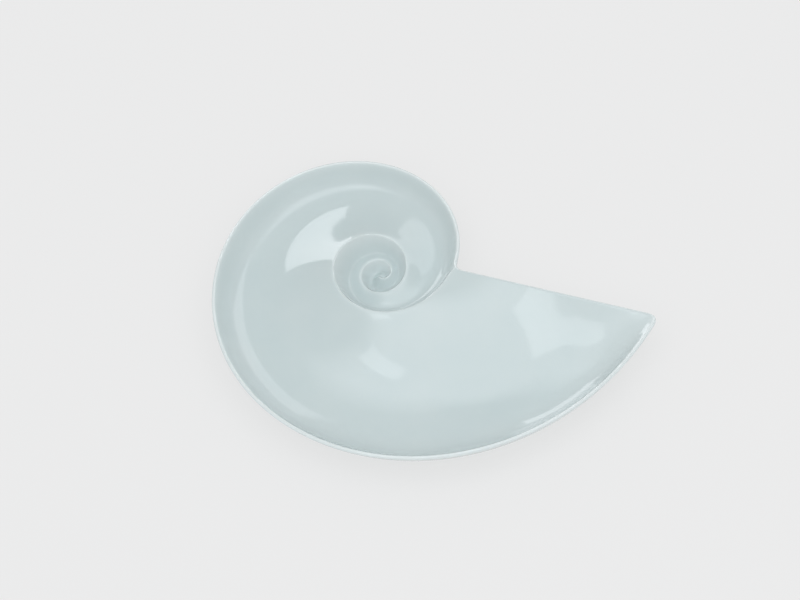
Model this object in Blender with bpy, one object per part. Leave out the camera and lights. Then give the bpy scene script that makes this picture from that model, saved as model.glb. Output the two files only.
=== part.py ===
"""A moon snail shell dish: one piece of glazed stoneware, its hollow wound like a moon snail.

The rim is a flat logarithmic spiral closed by the straight edge of the shell's mouth. Inside it the
whorls are one spiral channel, whose outer wall is the rim and whose inner edge is the ridge of the
turn before. The ridge sinks towards the apex. Lengths are in metres, bearings are counterclockwise
from +X as seen from above, and heights inside the hollow are measured from the plane of the rim.
"""

import math

import bmesh
import bpy
from mathutils import Vector

# Overall
RIM_HEIGHT = 0.040
RIM_RADIUS_LEFT = 0.1166
GROWTH = 0.2106
LIP_HALF = 0.00175

# The mouth runs straight from the notch to the tip, and each corner's rounding starts this far from it
NOTCH_BEARING = math.radians(-18.8)
TIP_BEARING = math.radians(335.3)
NOTCH_REACH = 0.0080
TIP_REACH = 0.0065

# The inner whorls are wider than the spiral of the rim, and their ridge sinks and leans to the right
SWELL = 1.25
SWELL_FROM = math.radians(-136)
SWELL_SPAN = math.radians(620)
RIDGE_DROP = 0.0168
RIDGE_LEAN = 0.0020
DROP_FROM = math.radians(-178)
DROP_SPAN = math.radians(340)
APEX_DEPTH = 0.0212
APEX_FADE = math.radians(200)

# Cross-section of the channel: the first value for the outer whorls, the second where the ridge is sunk
DEPTH_PER_WIDTH = (0.27, 0.55)
FLOOR_AT = (0.71, 0.46)
RIDGE_SIDE_POWER = (1.65, 1.15)
WALL_SIDE_POWER = (3.2, 2.4)
SUNKEN_POWER = 2
DEEPEST = 0.038
DEPTH_LIMIT_POWER = 4
CREST_ROUNDING = 0.0015
CREST_ROUNDING_SHARE = 0.06

# The floor moves in from the wall towards the mouth, and the wall gets a tighter foot towards the tip
FLOOR_SHIFT = -0.06
FLOOR_SHIFT_FROM = math.radians(185)
FLOOR_SHIFT_SPAN = math.radians(85)
WALL_POWER_RISE = 2.6
WALL_RISE_FROM = math.radians(278)
WALL_RISE_SPAN = math.radians(50)

# The floor of the last whorl climbs to the edge of the mouth
MOUTH_REACH = 0.090
MOUTH_POWER = 1.7
MOUTH_FROM = math.radians(150)
MOUTH_FULL = math.radians(240)

# Underside
FOOT_CENTRE = Vector((-0.010, -0.058))
FOOT_LONG = 0.064
FOOT_SHORT = 0.043
FOOT_TURN = math.radians(-25)
FOOT_HEIGHT = 0.003
FOOT_WIDTH = 0.0055
FOOT_RECESS = 0.0022
WALL_SLOPE = 2.4
MOUTH_SLOPE = 1.0
NOTCH_BLEND = 0.030
TIP_BLEND = 0.065
WALL_RINGS = (0.06, 0.15, 0.28, 0.44, 0.62, 0.82, 1.0)
LIP_ANGLES = (math.radians(45), math.radians(90))

# Mesh
TURN = 2 * math.pi
ROWS_PER_TURN = 72
ROW_CROWDING = 0.80
INNER_TURNS = 2.5
ACROSS = (0.0, 0.012, 0.035, 0.1, 0.22, 0.36, 0.5, 0.63, 0.75, 0.86, 0.94, 0.975, 0.992, 1.0)
SAME_POINT = 1e-6

GLAZE_COLOUR = (0.56, 0.67, 0.68, 1.0)
GLAZE_ROUGHNESS = 0.12


def smooth_step(value):
    """0 below 0 and 1 above 1, with a smooth climb between."""
    value = min(1.0, max(0.0, value))
    return value * value * (3 - 2 * value)


def bearing_of(row):
    """Bearing of a row's outer end: row 0 is the notch, the last row the tip, and rows crowd near both."""
    turns = row / ROWS_PER_TURN
    whole = math.floor(turns)
    if whole >= 1:
        return TIP_BEARING
    share = turns - whole
    share -= ROW_CROWDING * math.sin(TURN * share) / TURN
    if whole < 0:
        return NOTCH_BEARING + (whole + share) * TURN
    return NOTCH_BEARING + share * (TIP_BEARING - NOTCH_BEARING)


def ridge_sunk(bearing):
    """How far the ridge has sunk, as a share of its whole drop."""
    return smooth_step((DROP_FROM - bearing) / DROP_SPAN)


def crest_point(row):
    """The top of the rim or ridge at a row, from the spiral's pole, in the frame of the rim plane."""
    bearing = bearing_of(row)
    first = bearing_of(-INNER_TURNS * ROWS_PER_TURN)
    radius = RIM_RADIUS_LEFT * math.exp(GROWTH * (bearing - math.pi))
    radius *= 1 + SWELL * smooth_step((SWELL_FROM - bearing) / SWELL_SPAN)
    radius -= LIP_HALF
    grown = math.sin(min(1.0, (bearing - first) / APEX_FADE) * math.pi / 2)
    radius *= grown
    sunk = ridge_sunk(bearing)
    height = -RIDGE_DROP * sunk - (APEX_DEPTH - RIDGE_DROP) * (1 - grown)
    return Vector((radius * math.cos(bearing) + RIDGE_LEAN * sunk, radius * math.sin(bearing), height))


def corners():
    """The notch and the tip in plan, each with the sum of the directions that its two edges leave it in."""
    notch, tip = crest_point(0).xy, crest_point(ROWS_PER_TURN).xy
    mouth = (tip - notch).normalized()
    rim_from_notch = (crest_point(1).xy - notch).normalized()
    rim_from_tip = (crest_point(ROWS_PER_TURN - 1).xy - tip).normalized()
    return (notch, mouth + rim_from_notch, NOTCH_REACH), (tip, rim_from_tip - mouth, TIP_REACH)


def with_round_corners(place):
    """A point in plan, drawn inwards along a corner's bisector if it is near that corner."""
    for corner, inwards, reach in corners():
        near = max(0.0, 1 - (place - corner).length / reach)
        place = place + inwards * reach * near * near / 4
    return place


def from_mouth(place):
    """Distance in plan from the straight edge of the mouth."""
    notch, tip = crest_point(0).xy, crest_point(ROWS_PER_TURN).xy
    edge = tip - notch
    along = min(1.0, max(0.0, (place - notch).dot(edge) / edge.length_squared))
    return (place - notch - along * edge).length


def mouth_fade(place, bearing):
    """Share of the depth left near the mouth: 0 on its edge and 1 well inside."""
    climb = 1 - max(0.0, 1 - from_mouth(place) / MOUTH_REACH) ** MOUTH_POWER
    near = smooth_step((bearing - MOUTH_FROM) / (MOUTH_FULL - MOUTH_FROM))
    return 1 - near * (1 - climb)


def rounded(distance, rounding):
    """Distance from a crest, flattened next to it so that the crest is round."""
    return math.hypot(distance, rounding) - rounding


def between(pair, share):
    return pair[0] + (pair[1] - pair[0]) * share


def hollow_shape(share, width, bearing, sunken):
    """Depth across the channel, as a share: 0 on the ridge and on the rim, 1 on the floor."""
    rounding = min(CREST_ROUNDING / max(width, SAME_POINT), CREST_ROUNDING_SHARE)
    floor_at = between(FLOOR_AT, sunken)
    floor_at += FLOOR_SHIFT * smooth_step((bearing - FLOOR_SHIFT_FROM) / FLOOR_SHIFT_SPAN)
    if share < floor_at:
        to_floor = rounded(share, rounding) / rounded(floor_at, rounding)
        return 1 - (1 - to_floor) ** between(RIDGE_SIDE_POWER, sunken)
    to_floor = rounded(1 - share, rounding) / rounded(1 - floor_at, rounding)
    power = between(WALL_SIDE_POWER, sunken)
    power += WALL_POWER_RISE * smooth_step((bearing - WALL_RISE_FROM) / WALL_RISE_SPAN)
    return 1 - (1 - to_floor) ** power


def hollow_point(row, share):
    """A point of the hollow's surface, share of the way from the ridge to the rim."""
    first = -INNER_TURNS * ROWS_PER_TURN
    outer = crest_point(row)
    inner = crest_point(max(first, row - ROWS_PER_TURN))
    place = inner.lerp(outer, share)
    bearing = bearing_of(row)
    sunken = ridge_sunk(bearing - TURN) ** SUNKEN_POWER
    width = (outer.xy - inner.xy).length
    wanted = between(DEPTH_PER_WIDTH, sunken) * width * smooth_step((bearing - bearing_of(first)) / TURN)
    depth = wanted / (1 + (wanted / DEEPEST) ** DEPTH_LIMIT_POWER) ** (1 / DEPTH_LIMIT_POWER)
    place.z -= depth * hollow_shape(share, width, bearing, sunken) * mouth_fade(place.xy, bearing)
    place.xy = with_round_corners(place.xy)
    return place


def wall_slope(place):
    """Steepness of the outside just under the rim: gentle along the mouth, steep round the whorls."""
    notch, tip = crest_point(0).xy, crest_point(ROWS_PER_TURN).xy
    if from_mouth(place) < SAME_POINT:
        gentle = smooth_step((place - notch).length / NOTCH_BLEND)
    else:
        gentle = 1 - smooth_step((place - tip).length / TIP_BLEND)
    return WALL_SLOPE + (MOUTH_SLOPE - WALL_SLOPE) * gentle


def foot_point(loop_point):
    """The point of the foot's outline that lies in the same direction as a point of the rim."""
    direction = loop_point.xy - FOOT_CENTRE
    angle = math.atan2(direction.y, direction.x) - FOOT_TURN
    along, aside = FOOT_LONG * math.cos(angle), FOOT_SHORT * math.sin(angle)
    turned = Vector((
        along * math.cos(FOOT_TURN) - aside * math.sin(FOOT_TURN),
        along * math.sin(FOOT_TURN) + aside * math.cos(FOOT_TURN),
    ))
    return FOOT_CENTRE + turned


def wound_hollow(mesh):
    """The inside: a grid wound up the spiral, sewn to the turn before along the ridge."""
    rows = round((INNER_TURNS + 1) * ROWS_PER_TURN)
    columns = len(ACROSS) - 1
    bmesh.ops.create_grid(mesh, x_segments=columns, y_segments=rows, size=0.5)
    for vertex in mesh.verts:
        column = round((vertex.co.x + 0.5) * columns)
        row = round((vertex.co.y + 0.5) * rows) - rows + ROWS_PER_TURN
        vertex.co = hollow_point(row, ACROSS[column])
    bmesh.ops.remove_doubles(mesh, verts=mesh.verts, dist=SAME_POINT)


def rim_normals(loop_edges):
    """Outward directions in plan at each vertex of the rim, from the edges that meet there."""
    normals = {}
    for edge in loop_edges:
        run = edge.verts[1].co.xy - edge.verts[0].co.xy
        across = Vector((run.y, -run.x)).normalized()
        middle = (edge.verts[0].co.xy + edge.verts[1].co.xy) / 2
        inside = edge.link_faces[0].calc_center_median().xy
        if across.dot(middle - inside) < 0:
            across = -across
        for vertex in edge.verts:
            normals[vertex] = normals.get(vertex, Vector((0, 0))) + across
    return {vertex: normal.normalized() for vertex, normal in normals.items()}


def next_ring(mesh, edges, place_of):
    """Extrudes a ring of edges and puts each new vertex where place_of says for the rim vertex above it."""
    old = {vertex for edge in edges for vertex in edge.verts}
    grown = bmesh.ops.extrude_edge_only(mesh, edges=edges)["geom"]
    new_edges = [item for item in grown if isinstance(item, bmesh.types.BMEdge)]
    new_vertices = [item for item in grown if isinstance(item, bmesh.types.BMVert)]
    sources = {}
    for vertex in new_vertices:
        below = next(edge.other_vert(vertex) for edge in vertex.link_edges if edge.other_vert(vertex) in old)
        sources[vertex] = below
    places = {vertex: place_of(source) for vertex, source in sources.items()}
    for vertex, place in places.items():
        vertex.co = place
    return new_edges, sources


def underside(mesh):
    """From the rim round the lip, down the outside to the foot ring, and across its shallow recess."""
    edges = [edge for edge in mesh.edges if edge.is_boundary]
    normals = rim_normals(edges)
    rims = {vertex: vertex.co.copy() for vertex in normals}
    origin = {vertex: vertex for vertex in normals}

    def lip(rim, angle):
        out = rims[rim].xy + normals[rim] * LIP_HALF * math.sin(angle)
        return Vector((out.x, out.y, rims[rim].z - LIP_HALF * (1 - math.cos(angle))))

    def wall(rim, share):
        top = lip(rim, math.radians(90))
        plan = top.xy.lerp(foot_point(top), share)
        fall = RIM_HEIGHT - FOOT_HEIGHT + top.z
        power = wall_slope(rims[rim].xy) * (foot_point(top) - top.xy).length / fall
        return Vector((plan.x, plan.y, top.z - fall * (1 - (1 - share) ** power)))

    def foot(rim, inset, height):
        outline = foot_point(lip(rim, math.radians(90)))
        outline -= (outline - FOOT_CENTRE).normalized() * inset
        return Vector((outline.x, outline.y, height - RIM_HEIGHT))

    places = [lambda rim, angle=angle: lip(rim, angle) for angle in LIP_ANGLES]
    places += [lambda rim, share=share: wall(rim, share) for share in WALL_RINGS]
    places += [
        lambda rim: foot(rim, 0.0008, 0.0),
        lambda rim: foot(rim, FOOT_WIDTH, 0.0),
        lambda rim: foot(rim, FOOT_WIDTH + FOOT_RECESS, FOOT_RECESS),
    ]
    for place in places:
        edges, sources = next_ring(mesh, edges, lambda vertex: place(origin[vertex]))
        origin.update({vertex: origin[source] for vertex, source in sources.items()})
    bmesh.ops.contextual_create(mesh, geom=edges)


def glaze():
    """Pale blue-green glaze over stoneware, smooth and glossy."""
    material = bpy.data.materials.new("celadon_glaze")
    material.use_nodes = True
    shader = material.node_tree.nodes["Principled BSDF"]
    shader.inputs["Base Color"].default_value = GLAZE_COLOUR
    shader.inputs["Roughness"].default_value = GLAZE_ROUGHNESS
    shader.inputs["Metallic"].default_value = 0.0
    return material


def shell_dish():
    """The whole dish, its foot on the ground and its bounding box centred on the origin."""
    mesh = bmesh.new()
    wound_hollow(mesh)
    underside(mesh)
    bmesh.ops.recalc_face_normals(mesh, faces=mesh.faces)
    low = [min(vertex.co[axis] for vertex in mesh.verts) for axis in range(3)]
    high = [max(vertex.co[axis] for vertex in mesh.verts) for axis in range(3)]
    shift = Vector((-(low[0] + high[0]) / 2, -(low[1] + high[1]) / 2, RIM_HEIGHT))
    bmesh.ops.translate(mesh, verts=mesh.verts, vec=shift)
    data = bpy.data.meshes.new("shell_dish")
    mesh.to_mesh(data)
    mesh.free()
    data.shade_smooth()
    data.set_sharp_from_angle(angle=math.radians(50))
    data.materials.append(glaze())
    dish = bpy.data.objects.new("shell_dish", data)
    bpy.context.scene.collection.objects.link(dish)
    return dish


def main():
    for leftover in list(bpy.data.objects):
        bpy.data.objects.remove(leftover, do_unlink=True)
    shell_dish()


main()
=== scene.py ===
import math

import bmesh
import bpy
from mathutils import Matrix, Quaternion, Vector


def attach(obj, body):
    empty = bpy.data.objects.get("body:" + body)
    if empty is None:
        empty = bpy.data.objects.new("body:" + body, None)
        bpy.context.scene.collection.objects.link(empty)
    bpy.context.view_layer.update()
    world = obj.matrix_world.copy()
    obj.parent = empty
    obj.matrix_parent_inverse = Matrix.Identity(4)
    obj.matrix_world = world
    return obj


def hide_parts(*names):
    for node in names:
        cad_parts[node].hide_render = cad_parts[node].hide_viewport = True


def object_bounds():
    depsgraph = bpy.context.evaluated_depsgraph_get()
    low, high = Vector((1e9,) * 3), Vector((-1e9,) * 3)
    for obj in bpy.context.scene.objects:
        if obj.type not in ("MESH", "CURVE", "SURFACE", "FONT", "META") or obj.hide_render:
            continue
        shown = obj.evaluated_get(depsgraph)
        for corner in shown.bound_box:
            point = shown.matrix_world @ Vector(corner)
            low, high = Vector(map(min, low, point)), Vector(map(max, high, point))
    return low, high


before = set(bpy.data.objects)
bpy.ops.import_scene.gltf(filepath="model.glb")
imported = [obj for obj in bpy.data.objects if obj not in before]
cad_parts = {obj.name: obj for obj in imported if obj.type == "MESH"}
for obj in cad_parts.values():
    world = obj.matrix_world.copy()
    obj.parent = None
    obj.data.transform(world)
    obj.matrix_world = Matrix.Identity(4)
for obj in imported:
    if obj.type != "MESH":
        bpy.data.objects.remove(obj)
cadLow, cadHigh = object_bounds()
scene = bpy.context.scene


# Helpers

def toLinear(hexColour):
    channels = []
    for start in (1, 3, 5):
        value = int(hexColour[start:start + 2], 16) / 255
        channels.append(value / 12.92 if value <= 0.04045 else ((value + 0.055) / 1.055) ** 2.4)
    return (*channels, 1.0)


def smoothStep(value):
    value = min(1.0, max(0.0, value))
    return value * value * (3 - 2 * value)


# Adds one node, sets its values and its inputs, and links other nodes' outputs into it
def addNode(tree, kind, settings=None, inputs=None, links=None):
    node = tree.nodes.new(kind)
    for name, value in (settings or {}).items():
        setattr(node, name, value)
    for name, value in (inputs or {}).items():
        node.inputs[name].default_value = value
    for name, socket in (links or {}).items():
        tree.links.new(socket, node.inputs[name])
    return node


# Camera, at the photograph's angle: a very long lens, so that nothing is drawn together by distance

camera = {
    "lookAt": Vector((-0.0210, 0.0144, 0.0250)),
    "elevation": math.radians(59.8),
    "roll": math.radians(10.63),
    "distance": 18.67,
    "lens": 1200,
    "sensor": 36,
    "farthest": 100,
}


def makeCamera():
    data = bpy.data.cameras.new("camera")
    data.lens = camera["lens"]
    data.sensor_width = camera["sensor"]
    data.clip_end = camera["farthest"]
    item = bpy.data.objects.new("camera", data)
    scene.collection.objects.link(item)
    sine, cosine = math.sin(camera["elevation"]), math.cos(camera["elevation"])
    back = Vector((0, -cosine, sine))
    up = Vector((0, sine, cosine))
    side = Vector((1, 0, 0))
    turnedUp = side * math.sin(camera["roll"]) + up * math.cos(camera["roll"])
    turnedSide = side * math.cos(camera["roll"]) - up * math.sin(camera["roll"])
    matrix = item.matrix_world.to_3x3()
    for row in range(3):
        matrix[row] = (turnedSide[row], turnedUp[row], back[row])
    item.matrix_world = matrix.to_4x4()
    item.location = camera["lookAt"] + back * camera["distance"]
    scene.camera = item


makeCamera()
print("camera set")


# The dish: its rim is a flat spiral closed by the straight mouth, and its whorls are one channel

dish = {
    "rimHeight": 0.040,
    "rimRadiusLeft": 0.1166,
    "growth": 0.2106,
    "lipHalf": 0.00175,
    "lipOut": 0.00163,           # how far the lip stands out past the rim line
    "notchBearing": math.radians(-18.8),
    "tipBearing": math.radians(335.3),
    "tipReach": 0.0065,          # how far from the corner the tip's rounding starts
    "notchReach": 0.0080,
    "swell": 1.25,               # the inner whorls are wider than the rim's spiral
    "swellFrom": math.radians(-136),
    "swellSpan": math.radians(620),
    "ridgeDrop": 0.0168,         # and their ridge sinks and leans to the right
    "ridgeLean": 0.0020,
    "dropFrom": math.radians(-178),
    "dropSpan": math.radians(340),
    "apexDepth": 0.0212,
    "apexFade": math.radians(200),
    "depthPerWidth": (0.27, 0.55),    # pairs: on the outer whorls, and where the ridge is sunk
    "floorAt": (0.71, 0.46),
    "ridgeSidePower": (1.65, 1.15),
    "wallSidePower": (3.2, 2.4),
    "sunkenPower": 2,
    "floorShift": -0.06,         # the floor moves in from the wall towards the mouth
    "floorShiftFrom": math.radians(185),
    "floorShiftSpan": math.radians(85),
    "wallPowerRise": 2.6,        # and the wall gets a tighter foot towards the tip
    "wallRiseFrom": math.radians(278),
    "wallRiseSpan": math.radians(50),
    "deepest": 0.038,
    "depthLimitPower": 4,
    "crestRounding": 0.0015,
    "crestRoundingShare": 0.06,
    "mouthReach": 0.090,
    "mouthPower": 1.7,
    "mouthFrom": math.radians(150),
    "mouthFull": math.radians(240),
    "rimThinAndPaintedHighlight": 0.9,              # how much paler the rim, the ridge and the wall are: thin glaze, with a painted highlight on the rim
    "ridgeThin": 0.3,
    # the wall is paler partly where glaze runs thin and partly as painted light against the shade in the
    # hollows, most on the sunken inner whorls
    "wallThinAndPaintedLight": (0.28, 0.6),
    "thinReach": 0.001,
    "lipGlazeAndPaintedHighlight": 0.35,            # glaze on the lip, kept pale partly as a painted highlight, and on the outside
    "outsideGlaze": 0.8,
    "footCentre": Vector((-0.010, -0.058)),
    "footLong": 0.064,
    "footShort": 0.043,
    "footTurn": math.radians(-25),
    "footHeight": 0.003,
    "footWidth": 0.0055,
    "footRecess": 0.0022,
    "footEdge": ((0.0002, 0.0006), (0.0008, 0.0)),    # insets and heights round the foot's edge
    "recessEdge": ((0.5, 0.6), (1.4, 1.0)),           # and round the recess, as shares of its height
    "wallSlope": 2.4,
    "mouthSlope": 1.0,
    "notchBlend": 0.030,
    "tipBlend": 0.065,
    "rowsPerTurn": 240,
    "innerTurns": 2.5,
    "columns": 44,
    "rowCrowding": 0.80,         # rows stand closer near the tip and the notch
    "columnCrowding": 0.86,      # columns stand closer near the ridge and the rim
    "lipRings": 5,
    "wallRings": 22,
    "wallRingPower": 0.8,
    "samePoint": 1e-6,
}


def crowded(share, amount):
    return share - amount * math.sin(2 * math.pi * share) / (2 * math.pi)


# Row 0 is at the notch, the last row at the tip, and rows below 0 are the turns inside
def bearingOf(row):
    turns = row / dish["rowsPerTurn"]
    whole = math.floor(turns)
    if whole >= 1:
        return dish["tipBearing"]
    share = crowded(turns - whole, dish["rowCrowding"])
    if whole < 0:
        return dish["notchBearing"] + (whole + share) * 2 * math.pi
    return dish["notchBearing"] + share * (dish["tipBearing"] - dish["notchBearing"])


def ridgeSunk(bearing):
    return smoothStep((dish["dropFrom"] - bearing) / dish["dropSpan"])


def crestPoint(row):
    bearing = bearingOf(row)
    first = bearingOf(-dish["innerTurns"] * dish["rowsPerTurn"])
    radius = dish["rimRadiusLeft"] * math.exp(dish["growth"] * (bearing - math.pi))
    radius *= 1 + dish["swell"] * smoothStep((dish["swellFrom"] - bearing) / dish["swellSpan"])
    radius -= dish["lipHalf"]
    grown = math.sin(min(1.0, (bearing - first) / dish["apexFade"]) * math.pi / 2)
    radius *= grown
    sunk = ridgeSunk(bearing)
    height = -dish["ridgeDrop"] * sunk - (dish["apexDepth"] - dish["ridgeDrop"]) * (1 - grown)
    return Vector((radius * math.cos(bearing) + dish["ridgeLean"] * sunk, radius * math.sin(bearing), height))


crests = {row: crestPoint(row) for row in range(-round(dish["innerTurns"] * dish["rowsPerTurn"]),
                                                dish["rowsPerTurn"] + 1)}
notch, tip = crests[0].xy, crests[dish["rowsPerTurn"]].xy
alongMouth = (tip - notch).normalized()
alongRimAtNotch = (crests[1].xy - notch).normalized()
alongRimAtTip = (crests[dish["rowsPerTurn"] - 1].xy - tip).normalized()


# Points near a corner of the outline are drawn along its bisector, which rounds the corner off
def roundCorners(place):
    for corner, bisector, reach in (
        (notch, alongMouth + alongRimAtNotch, dish["notchReach"]),
        (tip, alongRimAtTip - alongMouth, dish["tipReach"]),
    ):
        near = max(0.0, 1 - (place - corner).length / reach)
        place = place + bisector * reach * near * near / 4
    return place


def fromMouth(place):
    along = min((tip - notch).length, max(0.0, (place - notch).dot(alongMouth)))
    return (place - notch - along * alongMouth).length


# Share of the depth left near the mouth, where the floor climbs to the edge
def mouthFade(place, bearing):
    climb = 1 - max(0.0, 1 - fromMouth(place) / dish["mouthReach"]) ** dish["mouthPower"]
    near = smoothStep((bearing - dish["mouthFrom"]) / (dish["mouthFull"] - dish["mouthFrom"]))
    return 1 - near * (1 - climb)


def rounded(distance, rounding):
    return math.hypot(distance, rounding) - rounding


def between(pair, share):
    return pair[0] + (pair[1] - pair[0]) * share


# Where the floor lies across the channel, as a share of the way from the ridge to the rim
def floorShare(bearing, sunken):
    shift = dish["floorShift"] * smoothStep((bearing - dish["floorShiftFrom"]) / dish["floorShiftSpan"])
    return between(dish["floorAt"], sunken) + shift


# Depth across the channel: 0 on the ridge and on the rim, 1 on the floor
def hollowShape(share, width, bearing, sunken):
    rounding = min(dish["crestRounding"] / max(width, dish["samePoint"]), dish["crestRoundingShare"])
    floorAt = floorShare(bearing, sunken)
    if share < floorAt:
        toFloor = rounded(share, rounding) / rounded(floorAt, rounding)
        return 1 - (1 - toFloor) ** between(dish["ridgeSidePower"], sunken)
    toFloor = rounded(1 - share, rounding) / rounded(1 - floorAt, rounding)
    power = between(dish["wallSidePower"], sunken)
    power += dish["wallPowerRise"] * smoothStep((bearing - dish["wallRiseFrom"]) / dish["wallRiseSpan"])
    return 1 - (1 - toFloor) ** power


# How pale each point is: the glaze runs thin on the crests, most of all on the rim, and on the wall. The
# rim's paleness is partly a painted highlight, and the wall's partly painted light that lifts the shade in
# the hollows
def glazeShareAndPaintedLight(row, share, width, sunken):
    floorAt = floorShare(bearingOf(row), sunken)
    fromCrest = min(share, 1 - share) * width
    crestThinAndRimHighlight = dish["rimThinAndPaintedHighlight"] if row > 0 and share > floorAt else dish["ridgeThin"]
    # painted light on the wall: paler towards the rim, more on the sunken inner whorls
    wallThinAndPaintedLight = between(dish["wallThinAndPaintedLight"], sunken) * (1 - smoothStep((1 - share) / (1 - floorAt)))
    if share < floorAt:
        wallThinAndPaintedLight = 0
    return (1 - wallThinAndPaintedLight) * (1 - crestThinAndRimHighlight * math.exp(-fromCrest / dish["thinReach"]))


def hollowPoint(row, share):
    first = min(crests)
    outer, inner = crests[row], crests[max(first, row - dish["rowsPerTurn"])]
    place = inner.lerp(outer, share)
    bearing = bearingOf(row)
    sunken = ridgeSunk(bearing - 2 * math.pi) ** dish["sunkenPower"]
    width = (outer.xy - inner.xy).length
    wanted = between(dish["depthPerWidth"], sunken) * width
    wanted *= smoothStep((bearing - bearingOf(first)) / (2 * math.pi))
    power = dish["depthLimitPower"]
    depth = wanted / (1 + (wanted / dish["deepest"]) ** power) ** (1 / power)
    place.z -= depth * hollowShape(share, width, bearing, sunken) * mouthFade(place.xy, bearing)
    place.xy = roundCorners(place.xy)
    return place, glazeShareAndPaintedLight(row, share, width, sunken)


# The inside: a grid wound up the spiral and sewn to the turn before along the ridge.
# How much glaze lies on each point, with the painted highlight on the rim and the painted light on the walls,
# is kept with it
def windHollow(mesh):
    rows = len(crests) - 1
    columns = dish["columns"]
    pooled = mesh.verts.layers.float.new("glazeShareWithPaintedLight")
    bmesh.ops.create_grid(mesh, x_segments=columns, y_segments=rows, size=0.5)
    for vertex in mesh.verts:
        share = crowded(round((vertex.co.x + 0.5) * columns) / columns, dish["columnCrowding"])
        row = round((vertex.co.y + 0.5) * rows) + min(crests)
        vertex.co, vertex[pooled] = hollowPoint(row, share)
    bmesh.ops.remove_doubles(mesh, verts=mesh.verts, dist=dish["samePoint"])


def rimNormals(edges):
    normals = {}
    for edge in edges:
        run = edge.verts[1].co.xy - edge.verts[0].co.xy
        across = Vector((run.y, -run.x)).normalized()
        middle = (edge.verts[0].co.xy + edge.verts[1].co.xy) / 2
        if across.dot(middle - edge.link_faces[0].calc_center_median().xy) < 0:
            across = -across
        for vertex in edge.verts:
            normals[vertex] = normals.get(vertex, Vector((0, 0))) + across
    return {vertex: normal.normalized() for vertex, normal in normals.items()}


def wallSlope(place):
    if fromMouth(place) < dish["samePoint"]:
        gentle = smoothStep((place - notch).length / dish["notchBlend"])
    else:
        gentle = 1 - smoothStep((place - tip).length / dish["tipBlend"])
    return dish["wallSlope"] + (dish["mouthSlope"] - dish["wallSlope"]) * gentle


# The point of the foot's oval that lies the same way from its centre as a point of the rim
def footPoint(place):
    direction = place - dish["footCentre"]
    angle = math.atan2(direction.y, direction.x) - dish["footTurn"]
    along, aside = dish["footLong"] * math.cos(angle), dish["footShort"] * math.sin(angle)
    cosine, sine = math.cos(dish["footTurn"]), math.sin(dish["footTurn"])
    return dish["footCentre"] + Vector((along * cosine - aside * sine, along * sine + aside * cosine))


# Extrudes a ring of edges, and keeps for each new vertex the rim vertex that it hangs under
def nextRing(mesh, edges, rimOf):
    old = {vertex for edge in edges for vertex in edge.verts}
    grown = bmesh.ops.extrude_edge_only(mesh, edges=edges)["geom"]
    added = [item for item in grown if isinstance(item, bmesh.types.BMVert)]
    for vertex in added:
        above = next(edge.other_vert(vertex) for edge in vertex.link_edges if edge.other_vert(vertex) in old)
        rimOf[vertex] = rimOf[above]
    return [item for item in grown if isinstance(item, bmesh.types.BMEdge)], added


# From the rim round the lip, down the outside to the foot ring, and across its shallow recess
def makeUnderside(mesh):
    edges = [edge for edge in mesh.edges if edge.is_boundary]
    normals = rimNormals(edges)
    rims = {vertex: vertex.co.copy() for vertex in normals}
    slopes = {vertex: wallSlope(rims[vertex].xy) for vertex in normals}
    rimOf = {vertex: vertex for vertex in normals}
    pooled = mesh.verts.layers.float["glazeShareWithPaintedLight"]

    def lip(rim, angle):
        out = rims[rim].xy + normals[rim] * dish["lipOut"] * math.sin(angle)
        return Vector((*out, rims[rim].z - dish["lipHalf"] * (1 - math.cos(angle))))

    def wall(rim, share):
        top = lip(rim, math.pi / 2)
        foot = footPoint(top.xy)
        fall = dish["rimHeight"] - dish["footHeight"] + top.z
        power = slopes[rim] * (foot - top.xy).length / fall
        return Vector((*top.xy.lerp(foot, share), top.z - fall * (1 - (1 - share) ** power)))

    def foot(rim, inset, height):
        outline = footPoint(lip(rim, math.pi / 2).xy)
        outline -= (outline - dish["footCentre"]).normalized() * inset
        return Vector((*outline, height - dish["rimHeight"]))

    stages = [(lip, math.pi / 2 * (ring + 1) / dish["lipRings"]) for ring in range(dish["lipRings"])]
    stages += [(wall, (1 - math.cos(math.pi / 2 * (ring + 1) / dish["wallRings"])) ** dish["wallRingPower"])
               for ring in range(dish["wallRings"])]
    for shape, amount in stages:
        edges, added = nextRing(mesh, edges, rimOf)
        for vertex in added:
            vertex.co = shape(rimOf[vertex], amount)
            # the lip takes a pale share, partly a painted highlight along its edge; the outside takes its
            # glaze share
            vertex[pooled] = dish["lipGlazeAndPaintedHighlight"] if shape is lip else dish["outsideGlaze"]
    footRings = [*dish["footEdge"], (dish["footWidth"], 0.0)]
    footRings += [(dish["footWidth"] + dish["footRecess"] * inset, dish["footRecess"] * height)
                  for inset, height in dish["recessEdge"]]
    for inset, height in footRings:
        edges, added = nextRing(mesh, edges, rimOf)
        for vertex in added:
            vertex.co = foot(rimOf[vertex], inset, height)
            vertex[pooled] = dish["outsideGlaze"]
    bmesh.ops.contextual_create(mesh, geom=edges)


def makeDish():
    mesh = bmesh.new()
    windHollow(mesh)
    makeUnderside(mesh)
    bmesh.ops.recalc_face_normals(mesh, faces=mesh.faces)
    low = [min(vertex.co[axis] for vertex in mesh.verts) for axis in range(2)]
    high = [max(vertex.co[axis] for vertex in mesh.verts) for axis in range(2)]
    middle = (cadLow + cadHigh) / 2
    shift = Vector((middle.x - (low[0] + high[0]) / 2, middle.y - (low[1] + high[1]) / 2, dish["rimHeight"]))
    bmesh.ops.translate(mesh, verts=mesh.verts, vec=shift)
    print("pole at", [round(value, 4) for value in shift])
    data = bpy.data.meshes.new("shellDish")
    mesh.to_mesh(data)
    mesh.free()
    data.shade_smooth()
    item = bpy.data.objects.new("shellDish", data)
    scene.collection.objects.link(item)
    print("dish", len(data.polygons), "faces", [round(value, 4) for value in item.dimensions])
    return item


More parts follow.
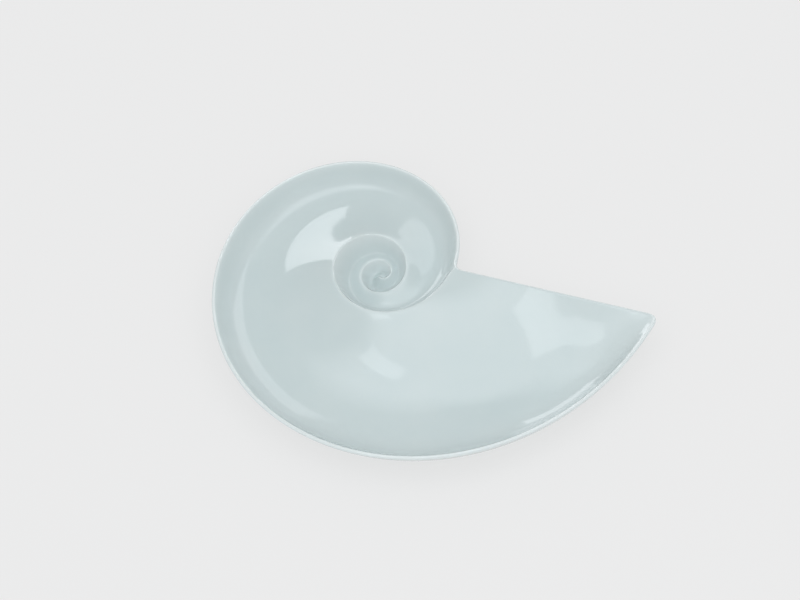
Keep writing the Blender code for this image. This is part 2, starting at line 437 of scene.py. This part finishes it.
# Celadon glaze on stoneware: iron-tinted glass, dipped and fired glossy. It breaks paler where it runs thin
# on the rim and the ridge, and is a deeper blue-green where it pools. Its pale colour also paints a highlight
# on the rim and painted light that lifts the shade on the walls
glazeLook = {
    "thinGlazeAndPaintedLight": "#E3EAEA",
    "pooled": "#CAD5D5",
    "deep": "#C2D0D1",
    "roughness": 0.07,
    "ior": 1.52,
    "cloudSize": 0.030,
    "cloudDetail": 3.0,
    "cloudRoughness": 0.5,
    "waveSize": 0.035,
    "waveHeight": 0.00002,
    "waveDetail": 1.0,
    "waveRoughness": 0.4,
}


def makeGlaze():
    material = bpy.data.materials.new("celadonGlaze")
    material.use_nodes = True
    tree = material.node_tree
    shader = tree.nodes["Principled BSDF"]
    shader.inputs["Roughness"].default_value = glazeLook["roughness"]
    shader.inputs["IOR"].default_value = glazeLook["ior"]
    coords = addNode(tree, "ShaderNodeTexCoord")
    pooled = addNode(tree, "ShaderNodeAttribute", {"attribute_name": "glazeShareWithPaintedLight"})
    clouds = addNode(tree, "ShaderNodeTexNoise",
                     inputs={"Scale": 1 / glazeLook["cloudSize"], "Detail": glazeLook["cloudDetail"],
                             "Roughness": glazeLook["cloudRoughness"]},
                     links={"Vector": coords.outputs["Object"]})
    body = addNode(tree, "ShaderNodeMix", {"data_type": "RGBA"},      # inputs 6 and 7 are its two colours
                   {6: toLinear(glazeLook["pooled"]), 7: toLinear(glazeLook["deep"])},
                   {"Factor": clouds.outputs["Fac"]})
    # where the share is low the pale colour shows: thin glaze, a painted highlight on the rim and painted
    # light on the walls
    colour = addNode(tree, "ShaderNodeMix", {"data_type": "RGBA"}, {6: toLinear(glazeLook["thinGlazeAndPaintedLight"])},
                     {"Factor": pooled.outputs["Fac"], 7: body.outputs[2]})
    tree.links.new(colour.outputs[2], shader.inputs["Base Color"])
    waves = addNode(tree, "ShaderNodeTexNoise",
                    inputs={"Scale": 1 / glazeLook["waveSize"], "Detail": glazeLook["waveDetail"],
                            "Roughness": glazeLook["waveRoughness"]},
                    links={"Vector": coords.outputs["Object"]})
    bump = addNode(tree, "ShaderNodeBump", inputs={"Distance": glazeLook["waveHeight"], "Strength": 1.0},
                   links={"Height": waves.outputs["Fac"]})
    tree.links.new(bump.outputs["Normal"], shader.inputs["Normal"])
    return material


# Buff stoneware clay, left bare and fired rough where the dish stands on it
clayLook = {
    "light": "#C8B79E",
    "dark": "#B3A088",
    "roughness": 0.75,
    "grainSize": 0.0008,
    "grainDetail": 2.0,
    "grainRoughness": 0.6,
}


def makeClay():
    material = bpy.data.materials.new("bareStoneware")
    material.use_nodes = True
    tree = material.node_tree
    shader = tree.nodes["Principled BSDF"]
    shader.inputs["Roughness"].default_value = clayLook["roughness"]
    coords = addNode(tree, "ShaderNodeTexCoord")
    grains = addNode(tree, "ShaderNodeTexNoise",
                     inputs={"Scale": 1 / clayLook["grainSize"], "Detail": clayLook["grainDetail"],
                             "Roughness": clayLook["grainRoughness"]},
                     links={"Vector": coords.outputs["Object"]})
    colour = addNode(tree, "ShaderNodeMix", {"data_type": "RGBA"},
                     {6: toLinear(clayLook["light"]), 7: toLinear(clayLook["dark"])},
                     {"Factor": grains.outputs["Fac"]})
    tree.links.new(colour.outputs[2], shader.inputs["Base Color"])
    return material


# Glazes the dish, all but the faces that it stands on
def glazeDish(item):
    data = item.data
    data.materials.append(makeGlaze())
    data.materials.append(makeClay())
    for face in data.polygons:
        if all(data.vertices[index].co.z < dish["samePoint"] for index in face.vertices):
            face.material_index = 1


shellDish = makeDish()
glazeDish(shellDish)
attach(shellDish, "root")
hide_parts("shell_dish")
print("glaze set")


# Plain pale floor

floorLook = {"size": 12.0, "colour": "#7C7C7C", "roughness": 0.9, "glow": 3.13}


def makeFloor():
    mesh = bmesh.new()
    bmesh.ops.create_grid(mesh, x_segments=1, y_segments=1, size=floorLook["size"] / 2)
    data = bpy.data.meshes.new("floor")
    mesh.to_mesh(data)
    mesh.free()
    item = bpy.data.objects.new("floor", data)
    scene.collection.objects.link(item)
    material = bpy.data.materials.new("litAcrylic")     # a pale acrylic table, softly lit from below
    material.use_nodes = True
    shader = material.node_tree.nodes["Principled BSDF"]
    shader.inputs["Base Color"].default_value = toLinear(floorLook["colour"])
    shader.inputs["Roughness"].default_value = floorLook["roughness"]
    shader.inputs["Specular IOR Level"].default_value = 0.0
    shader.inputs["Emission Color"].default_value = toLinear(floorLook["colour"])
    shader.inputs["Emission Strength"].default_value = floorLook["glow"]
    data.materials.append(material)


# Soft light all round and from a broad diffuser overhead, whose edges fade in layers. The smaller
# softboxes only show as reflections in the glaze
studio = {
    "surround": 0.71,
    "distance": 3.0,
    "layerGap": 0.02,
    "boxes": {
        "diffuser": {"azimuth": 178, "elevation": 72, "wide": 3.7, "high": 3.3, "watts": 36,
                     "lightsAll": True, "layers": 6, "innermost": 0.5},
        "backLeft": {"azimuth": -20.5, "elevation": 18.5, "wide": 1.55, "high": 2.07, "watts": 30},
        "backRight": {"azimuth": 48, "elevation": 39, "wide": 2.4, "high": 2.55, "watts": 27},
        "frontLeft": {"azimuth": -138, "elevation": 66, "wide": 0.80, "high": 0.40, "turn": 44, "watts": 1.5},
    },
    "tint": (0.94, 0.965, 1.0),     # the softboxes are a little cooler than the light all round
}


# One softbox, or one layer of it, with its share of the size and of the power
def makeSoftbox(name, box, size, power, distance):
    azimuth, elevation = math.radians(box["azimuth"]), math.radians(box["elevation"])
    towards = Vector((math.sin(azimuth) * math.cos(elevation), math.cos(azimuth) * math.cos(elevation),
                      math.sin(elevation)))
    data = bpy.data.lights.new(name, "AREA")
    data.shape = "RECTANGLE"
    data.size = box["wide"] * size
    data.size_y = box["high"] * size
    data.energy = box["watts"] * power
    data.color = studio["tint"]
    item = bpy.data.objects.new(name, data)
    item.location = towards * distance
    turn = Quaternion((0, 0, 1), math.radians(box.get("turn", 0)))
    item.rotation_euler = (towards.to_track_quat("Z", "Y") @ turn).to_euler()
    item.visible_camera = False
    item.visible_diffuse = box.get("lightsAll", False)
    scene.collection.objects.link(item)


def makeStudio():
    world = bpy.data.worlds.new("studio")
    world.use_nodes = True
    background = world.node_tree.nodes["Background"]
    background.inputs["Color"].default_value = (1, 1, 1, 1)
    background.inputs["Strength"].default_value = studio["surround"]
    scene.world = world
    for name, box in studio["boxes"].items():
        layers = box.get("layers", 1)
        sizes = [between((1, box.get("innermost", 1)), layer / max(1, layers - 1)) for layer in range(layers)]
        for layer, size in enumerate(sizes):
            power = size * size / sum(other * other for other in sizes)
            makeSoftbox(name, box, size, power, studio["distance"] - layer * studio["layerGap"])


makeFloor()
makeStudio()
scene.view_settings.view_transform = "Standard"
print("floor and lights set")
